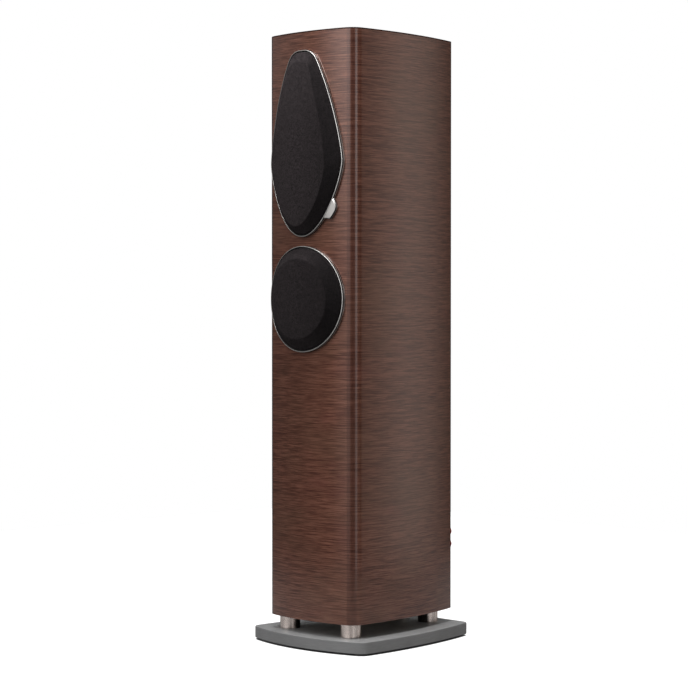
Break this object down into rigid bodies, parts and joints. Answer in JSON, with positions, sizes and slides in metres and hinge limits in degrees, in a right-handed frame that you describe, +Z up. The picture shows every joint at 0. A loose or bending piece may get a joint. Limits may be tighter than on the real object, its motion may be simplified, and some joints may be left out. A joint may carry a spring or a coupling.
{
  "type": "floorstanding speaker",
  "caption": "Slim floorstanding loudspeaker with bowed front and tapering sides, pull-off grilles in bright trim rings, and a raised base plate on metal pillars.",
  "frame": {"origin": "on the floor, under the middle of the object's bounding box", "axes": "+Z up, -Y towards the listener (the grille side), +X to the right of someone who faces the grilles"},
  "size_m": [0.263, 0.3408, 0.9944],
  "materials": {
    "veneer": "satin lacquered dark red-brown veneer, grain level",
    "bare_board": "raw fibreboard",
    "black_panel": "black textured paint on fibreboard",
    "black_plastic": "moulded black plastic, light texture",
    "base_paint": "satin mid-grey powder coat",
    "satin_nickel": "satin nickel, fine turning marks",
    "zinc_steel": "bright zinc",
    "black_rubber": "matt rubber",
    "cast_frame": "dark cast frame",
    "ferrite": "dull ferrite",
    "copper_coil": "enamelled copper wire",
    "cone_paper": "pressed pulp, faint fibres",
    "damper_cloth": "resin-dipped cotton",
    "dome_silk": "coated silk, soft sheen",
    "bright_trim": "bright satin metal",
    "grille_cloth": "black open-weave stretch cloth",
    "gold_plate": "gold plated",
    "red_plastic": "red moulded plastic",
    "circuit_board": "green circuit laminate",
    "film_wrap": "yellow film wrap",
    "cable_jacket": "grey PVC jacket"
  },
  "bodies": {
    "cabinet": {"front_baffle": "veneer", "left_side_panel": "veneer", "right_side_panel": "veneer", "top_panel": "veneer", "bottom_panel": "bare_board", "upper_brace": "bare_board", "lower_brace": "bare_board", "back_panel": "black_panel", "port_tube": "black_plastic", "base_plate": "base_paint", "pillar_front_left": "satin_nickel", "pillar_bolt_front_left": "zinc_steel", "foot_pad_front_left": "black_rubber", "pillar_front_right": "satin_nickel", "pillar_bolt_front_right": "zinc_steel", "foot_pad_front_right": "black_rubber", "pillar_rear_left": "satin_nickel", "pillar_bolt_rear_left": "zinc_steel", "foot_pad_rear_left": "black_rubber", "pillar_rear_right": "satin_nickel", "pillar_bolt_rear_right": "zinc_steel", "foot_pad_rear_right": "black_rubber", "woofer_basket": "cast_frame", "woofer_magnet": "ferrite", "woofer_yoke": "zinc_steel", "woofer_surround": "black_rubber", "woofer_spider": "damper_cloth", "midbass_basket": "cast_frame", "midbass_magnet": "ferrite", "midbass_yoke": "zinc_steel", "midbass_surround": "black_rubber", "midbass_spider": "damper_cloth", "tweeter_faceplate": "black_plastic", "tweeter_motor": "ferrite", "lower_trim_ring": "bright_trim", "upper_trim_ring": "bright_trim", "terminal_plate": "black_plastic", "binding_post_upper_left": "gold_plate", "binding_post_upper_right": "gold_plate", "binding_post_lower_left": "gold_plate", "binding_post_lower_right": "gold_plate", "crossover_board": "circuit_board", "crossover_inductor": "copper_coil", "crossover_capacitor": "film_wrap", "speaker_cable": "cable_jacket"},
    "lower_grille": {"lower_grille_frame": "black_plastic", "lower_grille_cloth": "grille_cloth"},
    "upper_grille": {"upper_grille_frame": "black_plastic", "upper_grille_cloth": "grille_cloth"},
    "woofer_moving_parts": {"woofer_cone": "cone_paper", "woofer_dust_cap": "cone_paper", "woofer_voice_coil": "copper_coil"},
    "midbass_moving_parts": {"midbass_cone": "cone_paper", "midbass_dust_cap": "cone_paper", "midbass_voice_coil": "copper_coil"},
    "tweeter_diaphragm": {"tweeter_dome": "dome_silk"},
    "knob_upper_left": {"binding_knob_upper_left": "black_plastic"},
    "knob_upper_right": {"binding_knob_upper_right": "red_plastic"},
    "knob_lower_left": {"binding_knob_lower_left": "black_plastic"},
    "knob_lower_right": {"binding_knob_lower_right": "red_plastic"}
  },
  "joints": [
    {"name": "lower_grille_pull", "type": "slide", "parent": "cabinet", "child": "lower_grille", "axis": [0, -1, 0], "range_m": [0, 0.06]},
    {"name": "upper_grille_pull", "type": "slide", "parent": "cabinet", "child": "upper_grille", "axis": [0, -1, 0], "range_m": [0, 0.06]},
    {"name": "woofer_stroke", "type": "slide", "parent": "cabinet", "child": "woofer_moving_parts", "axis": [0, -1, 0], "range_m": [-0.005, 0.005], "stiffness_N_per_m": 1200},
    {"name": "midbass_stroke", "type": "slide", "parent": "cabinet", "child": "midbass_moving_parts", "axis": [0, -1, 0], "range_m": [-0.005, 0.005], "stiffness_N_per_m": 1200},
    {"name": "tweeter_stroke", "type": "slide", "parent": "cabinet", "child": "tweeter_diaphragm", "axis": [0, -1, 0], "range_m": [-0.0004, 0.0004], "stiffness_N_per_m": 60},
    {"name": "knob_upper_left_turn", "type": "hinge", "parent": "cabinet", "child": "knob_upper_left", "pos_m": [-0.016, 0.1474, 0.1675], "axis": [0, 1, 0], "range_deg": [0, 900]},
    {"name": "knob_upper_right_turn", "type": "hinge", "parent": "cabinet", "child": "knob_upper_right", "pos_m": [0.016, 0.1474, 0.1675], "axis": [0, 1, 0], "range_deg": [0, 900]},
    {"name": "knob_lower_left_turn", "type": "hinge", "parent": "cabinet", "child": "knob_lower_left", "pos_m": [-0.016, 0.1474, 0.1465], "axis": [0, 1, 0], "range_deg": [0, 900]},
    {"name": "knob_lower_right_turn", "type": "hinge", "parent": "cabinet", "child": "knob_lower_right", "pos_m": [0.016, 0.1474, 0.1465], "axis": [0, 1, 0], "range_deg": [0, 900]}
  ]
}
